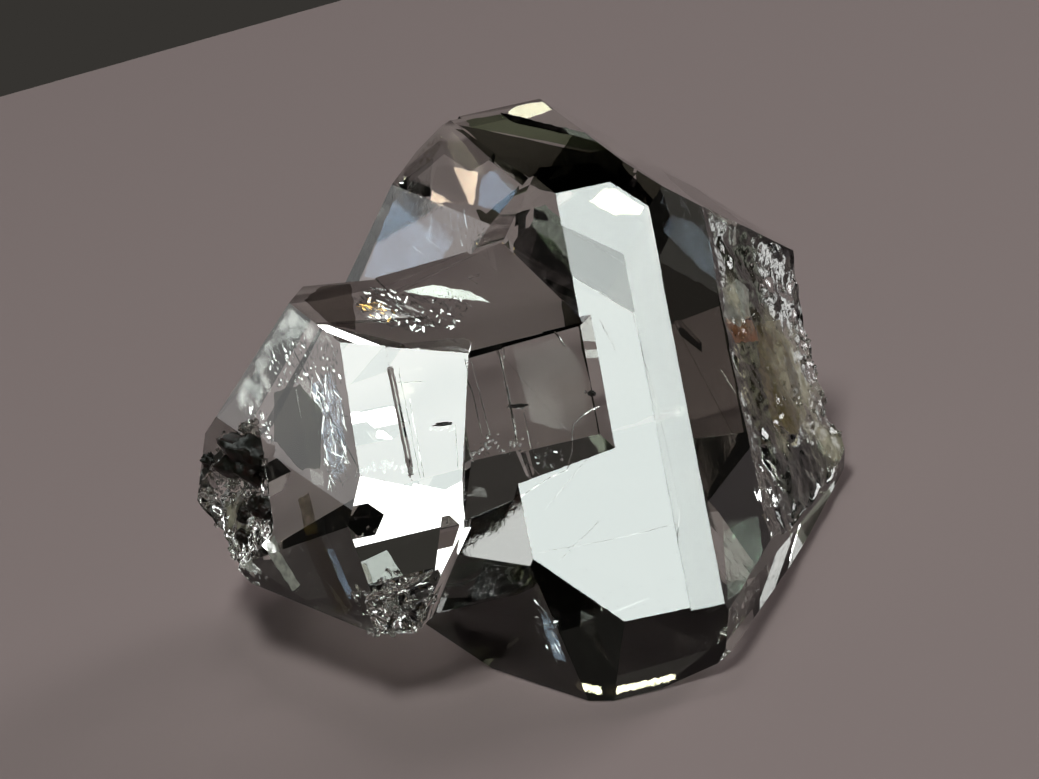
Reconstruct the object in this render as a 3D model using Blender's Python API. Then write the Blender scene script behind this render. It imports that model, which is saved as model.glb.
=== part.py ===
# Clear doubly terminated quartz: two crystals grown together with parallel axes,
# with black carbon blebs in the broken left end.
# Every crystal face is given the way a crystallographer gives it: the azimuth around
# the c axis, the polar angle from the c axis and the distance from the crystal's centre.
import math

import bmesh
import bpy
from mathutils import Matrix, Vector, noise

MM = 0.001

# Angles of quartz between the c axis and the normals of its usual faces, in degrees
PRISM = 90.0
MAIN_RHOMB = 51.8
STEEP_FACE = 65.6

# The specimen lies on a lower face at the back of the large crystal, turned by the heading.
RESTING_AZIMUTH = 177
RESTING_POLAR = 132.6
RESTING_DISTANCE = 7.70
LARGE_CENTRE = Vector((3.01, -2.08, RESTING_DISTANCE))
HEADING = -97.2

# The small crystal's centre, seen from the large one's along the crystal axes
SMALL_OFFSET = Vector((1.5, -7.5, -1.6))

BLANK = 60.0
GAP = 0.3

# The face at the front, white with a broad reflection, is azimuth 0.
LARGE_FACES = {
    "front prism": (0, PRISM, 5.00),
    "right prism": (60, PRISM, 6.23),
    "back prism": (180, PRISM, 10.40),
    "upper front rhomb": (0, MAIN_RHOMB, 7.68),
    "upper right rhomb": (60, MAIN_RHOMB, 8.70),
    "upper back rhomb": (120, MAIN_RHOMB, 13.79),
    "upper corner": (30, STEEP_FACE, 7.81),
    "top": (-178, 9, 14.74),
    "lower front rhomb": (0, 180 - MAIN_RHOMB, 11.71),
    "lower left corner": (-30, 180 - STEEP_FACE, 8.90),
    "lower left steep rhomb": (-60, 111.5, 7.83),
    "lower right corner": (86, 113, 9.42),
    "lower right rhomb": (120, 180 - MAIN_RHOMB, 10.92),
    "lower right strip": (94, 135, 12.56),
    "lower right back": (124, 129, 11.00),
    "lower back corner": (161, 138, 9.24),
    "lower left back": (-135, 133, 10.51),
    "lower left band": (-80, 129, 10.79),
    "resting face": (RESTING_AZIMUTH, RESTING_POLAR, RESTING_DISTANCE),
    "right break": (66, PRISM, 6.41),
    "far right break": (110, 86, 11.36),
}

# Outside this prism face the large crystal is missing, but for a foot and a shoulder.
LEFT_PRISM = (-60, PRISM, 1.71)
FOOT_FACES = {
    "foot front": (-47, 91, 5.38),
    "foot top": (-22, 43, -0.22),
    "foot crest": (180, 20, 4.96),
}
SHOULDER_FACES = {
    "shoulder front": (-45, 78, 4.22),
    "shoulder break": (-52, 86, 3.29),
    "shoulder crest": (29, 12, 13.50),
    "shoulder side": (-125, 25, 15.83),
    "shoulder back": (-107, 20, 15.51),
    "shoulder right": (85, 161, -7.49),
}

SMALL_LEFT_FACES = {
    "front prism": (0, PRISM, 4.53),
    "upper front": (17, 48, 4.77),
    "left prism": (-54, PRISM, 3.35),
    "lower front": (-18, 123, 5.51),
    "lower right": (17, 133, 6.75),
    "lower left": (-62, 113, 4.65),
    "upper left rhomb": (-60, MAIN_RHOMB, 6.73),
    "left end": (-89, 69, 9.62),
    "left underside": (-156, 140, 6.38),
    "far left underside": (-127, 120, 8.52),
    "front underside": (-156, 157, 7.49),
    "back prism": (180, PRISM, 12.86),
    "top": (-142, 13, 8.18),
    "lower back rhomb": (180, 180 - MAIN_RHOMB, 6.40),
    "right prism": (60, PRISM, 5.74),
    "right side": (94, 101, 3.40),
    "right underside": (108, 125, 4.45),
}
SMALL_RIGHT_FACES = {
    "front prism": (5, PRISM, 4.75),
    "right prism": (47, PRISM, 8.86),
    "upper front rhomb": (0, 53.8, 4.07),
    "lower front": (8, 130, 6.03),
    "inner end": (90, PRISM, 9.50),
    "underside": (157, 153, 3.87),
    "back prism": (180, PRISM, 4.80),
    "top": (-142, 13, 8.18),
    "left prism": (-60, PRISM, -0.72),
}

# Growth steps: where the newest layer of a face is missing. Each floor faces outwards at
# its own depth, and each edge is the line where the layer ends.
LARGE_STEPS = {
    "step_front_right": {
        "floor": (180, PRISM, -4.93),
        "edge": (-90, PRISM, -3.05),
    },
    "step_front_middle": {
        "floor": (180, PRISM, -4.96),
        "edge": (-90, 135, -2.46),
    },
    "step_front_top": {
        "floor": (180, PRISM, -4.89),
        "edge": (-90, 139.6, -4.15),
    },
    "step_back": {
        "floor": (0, PRISM, -10.32),
        "edge": (90, 62, -1.20),
    },
}
SMALL_STEPS = {
    "step_small_left": {
        "floor": (180, PRISM, -4.44),
        "edge": (102, 88, -0.04),
    },
    "step_small_right": {
        "floor": (185, PRISM, -4.69),
        "edge": (-88, 91, -5.15),
    },
}

# Rough breaks: outward direction, middle, size, greatest depth and width of one scallop
RIGHT_BREAK = {
    "azimuth": 66,
    "polar": 90,
    "middle": (-2.46, 8.11, -0.8),
    "width": 9.2,
    "height": 17.0,
    "depth": 0.5,
    "cell": 1.35,
    "seed": 3,
}
EDGE_BREAK = {
    "azimuth": 88,
    "polar": 88,
    "middle": (-6.6, 9.75, 3.0),
    "width": 4.4,
    "height": 8.6,
    "depth": 0.7,
    "cell": 1.0,
    "seed": 8,
}
LEFT_BREAK = {
    "azimuth": -54,
    "polar": 90,
    "middle": (-2.75, -14.75, -0.6),
    "width": 6.4,
    "height": 5.6,
    "depth": 0.6,
    "cell": 0.75,
    "seed": 5,
}
LOWER_BREAK = {
    "azimuth": -18,
    "polar": 123,
    "middle": (2.6, -8.0, -9.3),
    "width": 4.2,
    "height": 2.4,
    "depth": 0.4,
    "cell": 0.6,
    "seed": 12,
}

# Rim of a rough break where it fades into the face, as a share of its half size, and how
# far the sheet stands clear of the face there
FADE_RIM = 0.22
CLEAR_OF_FACE = 0.06

# Scallops of the rough breaks: squares of the sheet across one, how far and how sharply the
# ridges between them rise, the share of the depth found everywhere, the swing of the rest and
# how often it comes and goes per millimetre
SQUARES_PER_SCALLOP = 2
RIDGE_REACH = 1.1
RIDGE_SHARPNESS = 1.5
DEPTH_EVERYWHERE = 0.25
DEPTH_SWING = 1.5
SWINGS_PER_MM = 0.35
SEED_WAY = Vector((7.1, 3.7, 1.9))
SHEET_THICKNESS = 3.0

# Carbon blebs: middle of the pocket, half axes, direction of the long axis
LARGE_POCKET = {
    "middle": (-1.55, -13.60, 0.78),
    "radii": (1.08, 0.74, 0.82),
    "azimuth": 114,
    "polar": 123,
}
SMALL_POCKET = {
    "middle": (-1.30, -13.45, -1.64),
    "radii": (0.50, 0.46, 0.46),
    "azimuth": 114,
    "polar": 110,
}


def face_normal(azimuth, polar):
    turn = math.radians(azimuth)
    lean = math.radians(polar)
    return Vector((math.sin(lean) * math.cos(turn), math.sin(lean) * math.sin(turn), math.cos(lean)))


def clear_scene():
    for old in list(bpy.data.objects):
        bpy.data.objects.remove(old, do_unlink=True)


def make_collection(name):
    collection = bpy.data.collections.new(name)
    bpy.context.scene.collection.children.link(collection)
    return collection


def make_material(name, color, roughness, transmission, ior):
    material = bpy.data.materials.new(name)
    material.use_nodes = True
    shader = material.node_tree.nodes["Principled BSDF"]
    shader.inputs["Base Color"].default_value = (*color, 1.0)
    shader.inputs["Roughness"].default_value = roughness
    shader.inputs["Metallic"].default_value = 0.0
    shader.inputs["Transmission Weight"].default_value = transmission
    shader.inputs["IOR"].default_value = ior
    return material


def make_axes():
    # An empty whose own Z is the common c axis of both crystals
    axes = bpy.data.objects.new("crystal_axes", None)
    axes.location = LARGE_CENTRE * MM
    face_to_back = Matrix.Rotation(math.radians(180 - RESTING_AZIMUTH), 3, "Z")
    back_to_floor = Matrix.Rotation(math.radians(RESTING_POLAR - 180), 3, "Y")
    heading = Matrix.Rotation(math.radians(HEADING), 3, "Z")
    axes.rotation_euler = (heading @ back_to_floor @ face_to_back).to_euler()
    bpy.context.scene.collection.objects.link(axes)
    return axes


def add_object(name, bm, collection, axes, material=None):
    bmesh.ops.recalc_face_normals(bm, faces=bm.faces)
    mesh = bpy.data.meshes.new(name)
    bm.to_mesh(mesh)
    bm.free()
    obj = bpy.data.objects.new(name, mesh)
    collection.objects.link(obj)
    obj.parent = axes
    if material:
        mesh.materials.append(material)
    return obj


def hide_tool(obj):
    obj.hide_render = True
    obj.display_type = "WIRE"
    return obj


def join(target, tool, operation):
    step = target.modifiers.new(tool.name, "BOOLEAN")
    step.operation = operation
    step.solver = "EXACT"
    step.object = tool


def faceted_block(faces, centre):
    # A cube of rough, sawn away outside each of the given faces
    bm = bmesh.new()
    bmesh.ops.create_cube(bm, size=BLANK * MM, matrix=Matrix.Translation(centre * MM))
    for azimuth, polar, distance in faces.values():
        normal = face_normal(azimuth, polar)
        everything = bm.verts[:] + bm.edges[:] + bm.faces[:]
        sawn = bmesh.ops.bisect_plane(
            bm,
            geom=everything,
            plane_co=(centre + normal * distance) * MM,
            plane_no=normal,
            dist=1e-7,
            clear_outer=True,
        )
        rim = [item for item in sawn["geom_cut"] if isinstance(item, bmesh.types.BMEdge)]
        bmesh.ops.contextual_create(bm, geom=rim)
    return bm


def tangent_frame(normal):
    # Across the face, and up it as nearly along the c axis as the face allows
    across = Vector((0.0, 0.0, 1.0)).cross(normal).normalized()
    return across, normal.cross(across)


def rough_cutter(name, rough, collection, axes):
    # A sheet of scalloped hollows that meet in ridges, pushed outwards into a solid
    normal = face_normal(rough["azimuth"], rough["polar"])
    across, upward = tangent_frame(normal)
    middle = Vector(rough["middle"])
    step = rough["cell"] / SQUARES_PER_SCALLOP
    columns = max(2, round(rough["width"] / step))
    rows = max(2, round(rough["height"] / step))
    bm = bmesh.new()
    bmesh.ops.create_grid(bm, x_segments=columns, y_segments=rows, size=0.5)
    shift = SEED_WAY * rough["seed"]
    for vert in bm.verts:
        u, v = vert.co.x, vert.co.y
        flat = middle + across * (u * rough["width"]) + upward * (v * rough["height"])
        edge = min(0.5 - abs(u), 0.5 - abs(v)) * 2.0
        fade = min(1.0, edge / FADE_RIM)
        distances, _ = noise.voronoi(flat / rough["cell"] + shift)
        hollow = 1.0 - min(1.0, distances[0] * RIDGE_REACH) ** RIDGE_SHARPNESS
        broad = DEPTH_SWING * (0.5 + 0.5 * noise.noise(flat * SWINGS_PER_MM + shift))
        share = DEPTH_EVERYWHERE + (1.0 - DEPTH_EVERYWHERE) * hollow * broad
        sink = rough["depth"] * fade * share
        lift = CLEAR_OF_FACE * (1.0 - fade)
        vert.co = (flat + normal * (lift - sink)) * MM
    top = bmesh.ops.extrude_face_region(bm, geom=bm.faces[:])
    raised = [item for item in top["geom"] if isinstance(item, bmesh.types.BMVert)]
    bmesh.ops.translate(bm, verts=raised, vec=normal * SHEET_THICKNESS * MM)
    return hide_tool(add_object(name, bm, collection, axes))


def ball(name, pocket, gap, collection, axes, material=None):
    # An egg with the pocket's middle and long axis, smaller all round by the gap
    long_axis = face_normal(pocket["azimuth"], pocket["polar"])
    side, other = tangent_frame(long_axis)
    place = Matrix.Translation(Vector(pocket["middle"]) * MM)
    turn = Matrix((long_axis, side, other)).transposed().to_4x4()
    size = Matrix.Diagonal((*[(radius - gap) * MM for radius in pocket["radii"]], 1.0))
    bm = bmesh.new()
    bmesh.ops.create_icosphere(bm, subdivisions=3, radius=1.0, matrix=place @ turn @ size)
    return add_object(name, bm, collection, axes, material)


def model_large_crystal(parts, tools, axes, quartz):
    crystal = add_object("quartz_crystals", faceted_block(LARGE_FACES, Vector()), parts, axes, quartz)
    azimuth, polar, distance = LEFT_PRISM
    outside = {"outside of the left prism": (azimuth + 180, 180 - polar, -distance)}
    missing = hide_tool(add_object("missing_left", faceted_block(outside, Vector()), tools, axes))
    for name, faces in (("foot", FOOT_FACES), ("shoulder", SHOULDER_FACES)):
        kept = hide_tool(add_object(name, faceted_block(faces, Vector()), tools, axes))
        join(missing, kept, "DIFFERENCE")
    join(crystal, missing, "DIFFERENCE")
    return crystal


def model_small_crystal(crystal, tools, axes):
    blocks = (("small_left", SMALL_LEFT_FACES), ("small_right", SMALL_RIGHT_FACES))
    for name, faces in blocks:
        block = hide_tool(add_object(name, faceted_block(faces, SMALL_OFFSET), tools, axes))
        join(crystal, block, "UNION")


def cut_growth_steps(crystal, tools, axes):
    for steps, centre in ((LARGE_STEPS, Vector()), (SMALL_STEPS, SMALL_OFFSET)):
        for name, faces in steps.items():
            step = hide_tool(add_object(name, faceted_block(faces, centre), tools, axes))
            join(crystal, step, "DIFFERENCE")


def break_crystal(crystal, tools, axes):
    breaks = (
        ("right_break", RIGHT_BREAK),
        ("edge_break", EDGE_BREAK),
        ("left_break", LEFT_BREAK),
        ("lower_break", LOWER_BREAK),
    )
    for name, rough in breaks:
        join(crystal, rough_cutter(name, rough, tools, axes), "DIFFERENCE")


def add_bleb(name, pocket, crystal, parts, tools, axes, carbon):
    hollow = ball(name + "_pocket", pocket, 0.0, tools, axes)
    join(crystal, hide_tool(hollow), "DIFFERENCE")
    ball(name, pocket, GAP, parts, axes, carbon)


def build():
    clear_scene()
    parts = make_collection("herkimer_quartz")
    tools = make_collection("cutters")
    quartz = make_material("clear_quartz", (1.0, 1.0, 1.0), 0.02, 1.0, 1.544)
    carbon = make_material("carbon", (0.012, 0.011, 0.007), 0.35, 0.0, 1.6)
    axes = make_axes()
    crystal = model_large_crystal(parts, tools, axes, quartz)
    model_small_crystal(crystal, tools, axes)
    cut_growth_steps(crystal, tools, axes)
    break_crystal(crystal, tools, axes)
    add_bleb("carbon_bleb_large", LARGE_POCKET, crystal, parts, tools, axes, carbon)
    add_bleb("carbon_bleb_small", SMALL_POCKET, crystal, parts, tools, axes, carbon)


build()
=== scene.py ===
import math
import random

import bmesh
import bpy
from mathutils import Matrix, Vector, noise
from mathutils.bvhtree import BVHTree


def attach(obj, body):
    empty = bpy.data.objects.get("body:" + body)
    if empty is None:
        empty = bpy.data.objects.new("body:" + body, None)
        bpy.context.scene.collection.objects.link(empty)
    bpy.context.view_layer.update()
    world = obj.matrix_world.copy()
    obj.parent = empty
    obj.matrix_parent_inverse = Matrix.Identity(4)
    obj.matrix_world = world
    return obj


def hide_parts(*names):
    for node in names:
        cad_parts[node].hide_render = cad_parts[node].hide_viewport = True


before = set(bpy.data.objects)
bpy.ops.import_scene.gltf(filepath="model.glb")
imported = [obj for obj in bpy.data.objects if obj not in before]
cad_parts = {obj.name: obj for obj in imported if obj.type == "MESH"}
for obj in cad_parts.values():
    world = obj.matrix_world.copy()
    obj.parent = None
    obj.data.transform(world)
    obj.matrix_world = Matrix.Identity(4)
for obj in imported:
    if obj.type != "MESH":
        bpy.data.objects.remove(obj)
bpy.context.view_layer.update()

print("frame loaded:", ", ".join(sorted(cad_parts)))

mm = 0.001

# how the stone lies: both crystals share one c axis, and everything on them is placed along
# it, in millimetres from the middle of the large crystal
stonePose = {
    "restingAzimuth": 177.0,
    "restingPolar": 132.6,
    "heading": -97.2,
    "largeMiddle": (3.01, -2.08, 7.70),
    "smallOffset": (1.5, -7.5, -1.6),
}

crystalTurn = (
    Matrix.Rotation(math.radians(stonePose["heading"]), 3, "Z")
    @ Matrix.Rotation(math.radians(stonePose["restingPolar"] - 180), 3, "Y")
    @ Matrix.Rotation(math.radians(180 - stonePose["restingAzimuth"]), 3, "Z")
)
largeMiddle = Vector(stonePose["largeMiddle"])
smallMiddle = Vector(stonePose["smallOffset"])

# the camera, and the size in pixels of the photograph that it stands in for
camera = {
    "eye": (0.9008, -164.5591, 66.6105),  # mm
    "right": (0.9622, -0.0913, -0.2566),
    "up": (0.2723, 0.3249, 0.9057),
    "lens": 150.0,
    "sensor": 36.0,
    "pictureWide": 1039,
    "pictureHigh": 779,
}

# faces that are looked through: azimuth, polar angle and distance, which for the small crystal is
# measured from its own middle
largeFaces = {
    "frontPrism": (0, 90, 5.0),
    "rightPrism": (60, 90, 6.23),
    "leftPrism": (-60, 90, 1.71),
    "leftShoulder": (-45, 78, 4.22),
    "etchedFlank": (-52, 86, 3.29),
    "topFace": (0, 51.8, 7.68),
    "lowerLeft": (-60, 111.5, 7.83),
    "lowerMiddle": (-30, 114.4, 8.90),
    "lowerFront": (0, 128.2, 11.71),
    "rightLower": (86, 113, 9.42),
}
smallFaces = {
    "smallFront": (0, 90, 4.53),
    "smallRight": (5, 90, 4.75),
    "smallShoulder": (17, 48, 4.77),
    "smallTop": (0, 53.8, 4.07),
    "smallLeft": (-54, 90, 3.35),
    "smallLower": (-62, 113, 4.65),
    "smallSeam": (8, 130, 6.03),
}
quartzIor = 1.544


def faceNormal(azimuth, polar):  # outward direction of a face, along the crystal's own axes
    turn, lean = math.radians(azimuth), math.radians(polar)
    return Vector((math.sin(lean) * math.cos(turn), math.sin(lean) * math.sin(turn), math.cos(lean)))


def inWorld(point):  # crystal millimetres to the row frame
    return (crystalTurn @ Vector(point) + largeMiddle) * mm


def inCrystal(place):  # row frame to crystal millimetres
    return crystalTurn.transposed() @ (Vector(place) / mm - largeMiddle)


def faceAxes(azimuth, polar):  # across a face, up along it and out of it
    normal = faceNormal(azimuth, polar)
    across = Vector((0, 0, 1)).cross(normal).normalized()
    return across, normal.cross(across), normal


def onFace(azimuth, polar, distance):  # turn from a flat sheet to a face
    across, upward, normal = faceAxes(azimuth, polar)
    turn = Matrix((across, upward, normal)).transposed()
    return Matrix.Translation(normal * distance) @ turn.to_4x4()


faces = dict(largeFaces)
for name, (azimuth, polar, distance) in smallFaces.items():
    faces[name] = (azimuth, polar, distance + faceNormal(azimuth, polar).dot(smallMiddle))


def hundredths(values):
    return tuple(round(value, 2) for value in values)


def seenOn(face, x, y):  # where a point of the photograph falls on a face, and the way it is seen
    right, up = Vector(camera["right"]), Vector(camera["up"])
    focal = camera["lens"] / camera["sensor"] * camera["pictureWide"]
    aside, above = x - camera["pictureWide"] / 2, camera["pictureHigh"] / 2 - y
    way = right * aside + up * above - right.cross(up) * focal
    way = (crystalTurn.transposed() @ way).normalized()
    eye = inCrystal(Vector(camera["eye"]) * mm)
    normal = faceNormal(*face[:2])
    return eye + way * (face[2] - eye.dot(normal)) / way.dot(normal), way


def seenInside(face, x, y):  # the same point, with the way bent as the light enters the quartz
    point, way = seenOn(face, x, y)
    normal = faceNormal(*face[:2])
    lean = -way.dot(normal)
    bent = math.sqrt(1 - (1 - lean * lean) / quartzIor ** 2)
    return point, way / quartzIor + normal * (lean / quartzIor - bent)


def layOut(piece):  # plane of a crack or a swarm, and its corners on that plane
    if "corners" in piece:
        return piece["plane"], piece["corners"]
    face = faces[piece["behind"]]
    turn = piece.get("turn", face[:2])
    across, upward, normal = faceAxes(*turn)
    distance = face[2] - piece["depth"]
    if "turn" in piece:
        middle = [sum(values) / len(values) for values in zip(*piece["outline"])]
        point, way = seenInside(face, *middle)
        distance = (point + way * piece["depth"]).dot(normal)
    distance = round(distance, 2)
    corners = []
    for x, y in piece["outline"]:
        point, way = seenInside(face, x, y)
        spot = point + way * (distance - point.dot(normal)) / way.dot(normal)
        corners.append(hundredths((spot.dot(across), spot.dot(upward))))
    return (*turn, distance), corners


def srgb(code):  # "#rrggbb" to linear
    parts = [int(code[i:i + 2], 16) / 255 for i in (1, 3, 5)]
    return [c / 12.92 if c <= 0.04045 else ((c + 0.055) / 1.055) ** 2.4 for c in parts] + [1.0]


def addNode(tree, kind, settings=None, links=None):
    node = tree.nodes.new(kind)
    for name, value in (settings or {}).items():
        if isinstance(name, int) or name in node.inputs:
            node.inputs[name].default_value = value
        else:
            setattr(node, name, value)
    for socket, source in (links or {}).items():
        tree.links.new(source, node.inputs[socket])
    return node


def newMaterial(name):
    material = bpy.data.materials.new(name)
    material.use_nodes = True
    tree = material.node_tree
    tree.nodes.clear()
    return material, tree


def finishPiece(name, bm, material, replaces=(), smooth=False):
    bmesh.ops.recalc_face_normals(bm, faces=bm.faces)
    mesh = bpy.data.meshes.new(name)
    bm.to_mesh(mesh)
    bm.free()
    mesh.materials.append(material)
    if smooth:
        mesh.shade_smooth()
        mesh.set_sharp_from_angle(angle=math.radians(35))
    piece = bpy.data.objects.new(name, mesh)
    bpy.context.scene.collection.objects.link(piece)
    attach(piece, "root")
    for node in replaces:
        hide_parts(node)
    return piece


# quartz: natural crystal faces, glass-smooth as they grew. Clear, with hard bright reflections.
# Where the crystal has broken it is shelly, and one broken face is etched to a soft blue-grey
quartzLook = {
    "tint": "#fdfefc",
    "absorption": "#dfe6dc",
    "absorptionDensity": 12.0,  # per metre: a faint grey-green in 30 mm of stone
    "etchedRoughness": 0.05,
    "etchedGrain": 0.35,  # mm
    "etchedDepth": 0.012,  # mm
    "breakRoughness": 0.03,
    "breakGrain": 0.22,  # mm
    "breakDepth": 0.02,  # mm
    "soil": "#cdc6ad",  # pale clay caught in the break on the right
    "soilPatch": 1.1,  # mm
    "soilCover": 0.75,
    "shellDepth": 0.10,  # mm that the fine shells sink into a break
    "shellsPerMm": 1.1,
    "chipsPerMm": 2.6,
}
# faces that were etched: azimuth, polar angle, how much
etchedFaces = (
    (-52.0, 86.0, 1.0),
    (-47.0, 91.0, 0.55),
)
# the front prism of the large crystal is a little frosted beside its edge, on a step lower than the
# rest, and above a growth line. Places are in crystal mm
frontBands = {
    "edgeRoughness": 0.14,
    "upperRoughness": 0.24,
    "lowStep": 4.5,  # x of the lowest flat that counts
    "highStep": 4.95,  # x above which a flat is the raised one
    "outermost": 5.1,
    "seam": -3.0,  # y where the small crystal begins
    "growthLine": (5.0, 1.01, 2.24),
    "acrossLine": (0.0, 0.716, 0.698),
    "lineLevel": 2.29,
}
sameWay = 0.9998  # cosine between two directions that count as one
# broken areas: middle and radius in crystal mm
brokenAreas = (
    ((-2.46, 8.11, -0.8), 9.6),
    ((-6.6, 9.75, 3.0), 4.9),
    ((-2.75, -14.75, -0.6), 4.3),
    ((2.6, -8.0, -9.3), 2.4),
)
# where pale clay is caught in the breaks: middle and reach in crystal mm
soilSpots = (
    ((-0.6, 7.0, 2.7), 0.9),
    ((-4.3, 8.6, 1.2), 1.9),
    ((-5.3, 9.1, -1.4), 1.4),
    ((-2.0, 7.7, -3.2), 0.5),
    ((-3.6, -15.0, -0.4), 1.0),
)
soilFade = 1.6  # reaches from a spot's middle to where its clay ends, which is full until one reach less
largestShell = 0.9  # mm2: flats smaller than this, in a broken area, belong to the break


def crystalPlace(tree):  # crystal millimetres of the shaded point
    spot = addNode(tree, "ShaderNodeTexCoord").outputs["Object"]
    back = crystalTurn.transposed()
    return addNode(tree, "ShaderNodeMapping", {
        "Scale": (1 / mm, 1 / mm, 1 / mm),
        "Rotation": back.to_euler(),
        "Location": -(back @ largeMiddle),
    }, {"Vector": spot}).outputs[0]


def quartzMaterial():
    material, tree = newMaterial("naturalQuartzAsGrown")
    place = crystalPlace(tree)
    etched = addNode(tree, "ShaderNodeAttribute", {"attribute_name": "etched"}).outputs["Fac"]
    broken = addNode(tree, "ShaderNodeAttribute", {"attribute_name": "broken"}).outputs["Fac"]
    frosted = addNode(tree, "ShaderNodeAttribute", {"attribute_name": "frosted"}).outputs["Fac"]
    frost = addNode(tree, "ShaderNodeMath", {"operation": "MULTIPLY_ADD", 1: quartzLook["etchedRoughness"]},
                    {0: etched, 2: frosted})
    rough = addNode(tree, "ShaderNodeMath", {"operation": "MULTIPLY_ADD", 1: quartzLook["breakRoughness"]},
                    {0: broken, 2: frost.outputs[0]})
    grain = addNode(tree, "ShaderNodeTexNoise", {"Scale": 1 / quartzLook["breakGrain"], "Detail": 3.0},
                    {"Vector": place})
    etch = addNode(tree, "ShaderNodeTexNoise", {"Scale": 1 / quartzLook["etchedGrain"], "Detail": 4.0,
                                                "Distortion": 0.6}, {"Vector": place})
    brokenBump = addNode(tree, "ShaderNodeBump", {"Distance": quartzLook["breakDepth"] * mm},
                         {"Height": grain.outputs[0], "Strength": broken})
    bump = addNode(tree, "ShaderNodeBump", {"Distance": quartzLook["etchedDepth"] * mm}, {
        "Height": etch.outputs[0], "Strength": etched, "Normal": brokenBump.outputs[0]})
    shader = addNode(tree, "ShaderNodeBsdfPrincipled", {
        "Base Color": srgb(quartzLook["tint"]),
        "IOR": quartzIor,
        "Transmission Weight": 1.0,
    }, {"Roughness": rough.outputs[0], "Normal": bump.outputs[0]})
    soiled = addNode(tree, "ShaderNodeAttribute", {"attribute_name": "soiled"}).outputs["Fac"]
    patches = addNode(tree, "ShaderNodeTexNoise", {"Scale": 1 / quartzLook["soilPatch"], "Detail": 5.0},
                      {"Vector": place})
    cover = addNode(tree, "ShaderNodeMapRange", {
        "From Min": 0.42,
        "From Max": 0.62,
        "To Max": quartzLook["soilCover"],
    }, {"Value": patches.outputs[0]})
    soilAmount = addNode(tree, "ShaderNodeMath", {"operation": "MULTIPLY"}, {0: cover.outputs[0], 1: soiled})
    soil = addNode(tree, "ShaderNodeBsdfDiffuse", {"Color": srgb(quartzLook["soil"])})
    surface = addNode(tree, "ShaderNodeMixShader", links={0: soilAmount.outputs[0], 1: shader.outputs[0],
                                                          2: soil.outputs[0]})
    depth = addNode(tree, "ShaderNodeVolumeAbsorption", {
        "Color": srgb(quartzLook["absorption"]),
        "Density": quartzLook["absorptionDensity"],
    })
    addNode(tree, "ShaderNodeOutputMaterial", links={
        "Surface": surface.outputs[0],
        "Volume": depth.outputs[0],
    })
    return material


def isShell(middle, area):
    near = any((middle - Vector(spot)).length < reach for spot, reach in brokenAreas)
    return near and area < largestShell * mm * mm


def inBreak(face):
    return isShell(inCrystal(face.calc_center_median()), face.calc_area())


def isFront(face):  # the raised flat of the large crystal's front prism
    middle = inCrystal(face.calc_center_median())
    normal = crystalTurn.transposed() @ face.normal
    raised = frontBands["highStep"] < middle.x < frontBands["outermost"]
    return raised and normal.x > sameWay and middle.y > frontBands["seam"]


def makeQuartz(material):
    bm = bmesh.new()
    bm.from_mesh(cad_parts["quartz_crystals"].data)
    bmesh.ops.remove_doubles(bm, verts=bm.verts, dist=2e-6)
    bmesh.ops.dissolve_limit(bm, angle_limit=math.radians(0.4), verts=bm.verts, edges=bm.edges)
    front = [face for face in bm.faces if isFront(face)]
    around = front + list({edge for face in front for edge in face.edges})
    bmesh.ops.bisect_plane(bm, geom=around, plane_co=inWorld(frontBands["growthLine"]),
                           plane_no=crystalTurn @ Vector(frontBands["acrossLine"]))
    shells = [face for face in bm.faces if inBreak(face)]
    bmesh.ops.triangulate(bm, faces=shells)
    shells = [face for face in bm.faces if inBreak(face)]
    rim = {vert for face in bm.faces if not inBreak(face) for vert in face.verts}
    edges = {edge for face in shells for edge in face.edges
             if all(inBreak(side) for side in edge.link_faces)}
    bmesh.ops.subdivide_edges(bm, edges=list(edges), cuts=3, use_grid_fill=True)
    bm.normal_update()
    shells = [face for face in bm.faces if inBreak(face)]
    inner = [vert for vert in {v for face in shells for v in face.verts}
             if vert not in rim and all(inBreak(side) for side in vert.link_faces)]
    for turn in range(5):
        bmesh.ops.smooth_vert(bm, verts=inner, factor=0.5, use_axis_x=True, use_axis_y=True, use_axis_z=True)
    bm.normal_update()
    shifts = []
    for vert in inner:
        spot = inCrystal(vert.co)
        shell = noise.voronoi(spot * quartzLook["shellsPerMm"])[0][0]
        chips = noise.turbulence(spot * quartzLook["chipsPerMm"], 3, False)
        shifts.append((vert, vert.normal * (-quartzLook["shellDepth"] * (0.6 * chips + 0.7 * shell)) * mm))
    for vert, shift in shifts:
        vert.co += shift
    quartz = finishPiece("quartz", bm, material, ["quartz_crystals"])
    markZones(quartz.data)
    return quartz


def markZones(mesh):
    zones = {name: [0.0] * len(mesh.polygons) for name in ("etched", "broken", "frosted", "soiled")}
    back = crystalTurn.transposed()
    for k, face in enumerate(mesh.polygons):
        normal = back @ face.normal
        middle = inCrystal(face.center)
        for azimuth, polar, amount in etchedFaces:
            if normal.dot(faceNormal(azimuth, polar)) > sameWay:
                zones["etched"][k] = amount
        if normal.x > sameWay and middle.x > frontBands["lowStep"] and middle.y > frontBands["seam"]:
            if middle.x < frontBands["highStep"]:
                zones["frosted"][k] = frontBands["edgeRoughness"]
            elif middle.dot(Vector(frontBands["acrossLine"])) > frontBands["lineLevel"]:
                zones["frosted"][k] = frontBands["upperRoughness"]
        if isShell(middle, face.area):
            zones["broken"][k] = 1.0
            soil = max(soilFade - (middle - Vector(spot)).length / reach for spot, reach in soilSpots)
            zones["soiled"][k] = max(0.0, min(1.0, soil))
            face.use_smooth = True
    for name, values in zones.items():
        mesh.attributes.new(name, "FLOAT", "FACE").data.foreach_set("value", values)


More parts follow.
